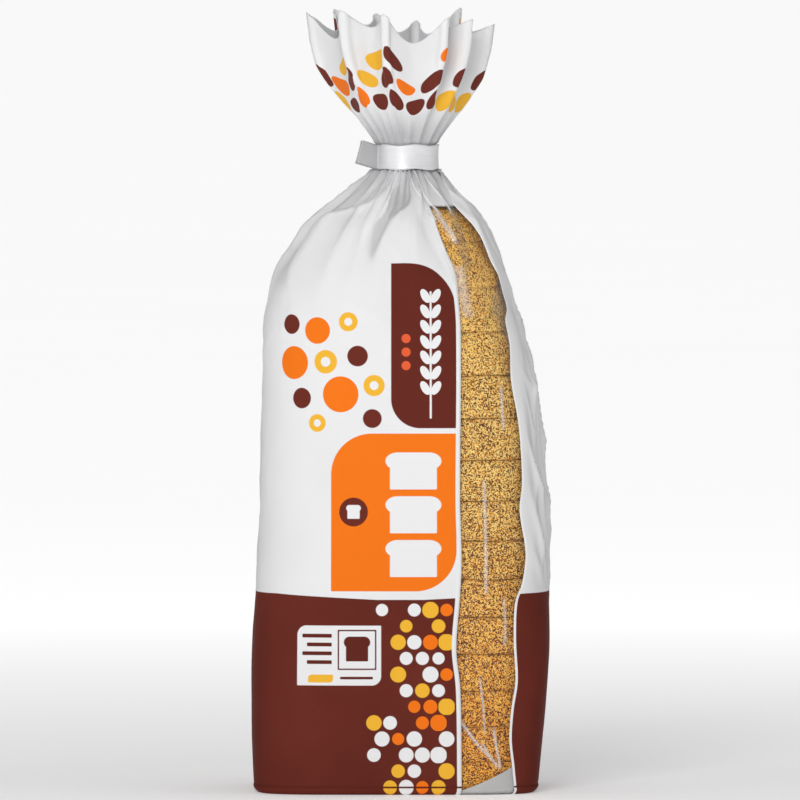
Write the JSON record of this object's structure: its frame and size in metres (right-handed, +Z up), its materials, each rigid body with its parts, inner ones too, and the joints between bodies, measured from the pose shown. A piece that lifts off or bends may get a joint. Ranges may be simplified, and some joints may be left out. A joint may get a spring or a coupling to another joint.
{
  "type": "sliced loaf in a bread bag",
  "caption": "Sliced brown loaf in a printed film bag with a clear window strip, drawn in to a taped neck under a pleated open frill; stands on its flat end.",
  "frame": {"origin": "on the standing surface under the middle of the pack's base", "axes": "+Z up along the loaf from its base to the frill, +X across the width, -Y out of the printed front"},
  "size_m": [0.102, 0.082, 0.268],
  "materials": {
    "printed_film": "white printed bag film with a soft gloss, brown at the base, with orange, brown and yellow fields",
    "closing_tape": "pale silvery tape, satin",
    "clear_film": "clear glossy bag film",
    "bread_crust": "matt wholemeal crust with a grainy brown and golden surface"
  },
  "bodies": {
    "root": {"bread_bag": "printed_film", "closure_tape": "closing_tape"}
  },
  "joints": []
}
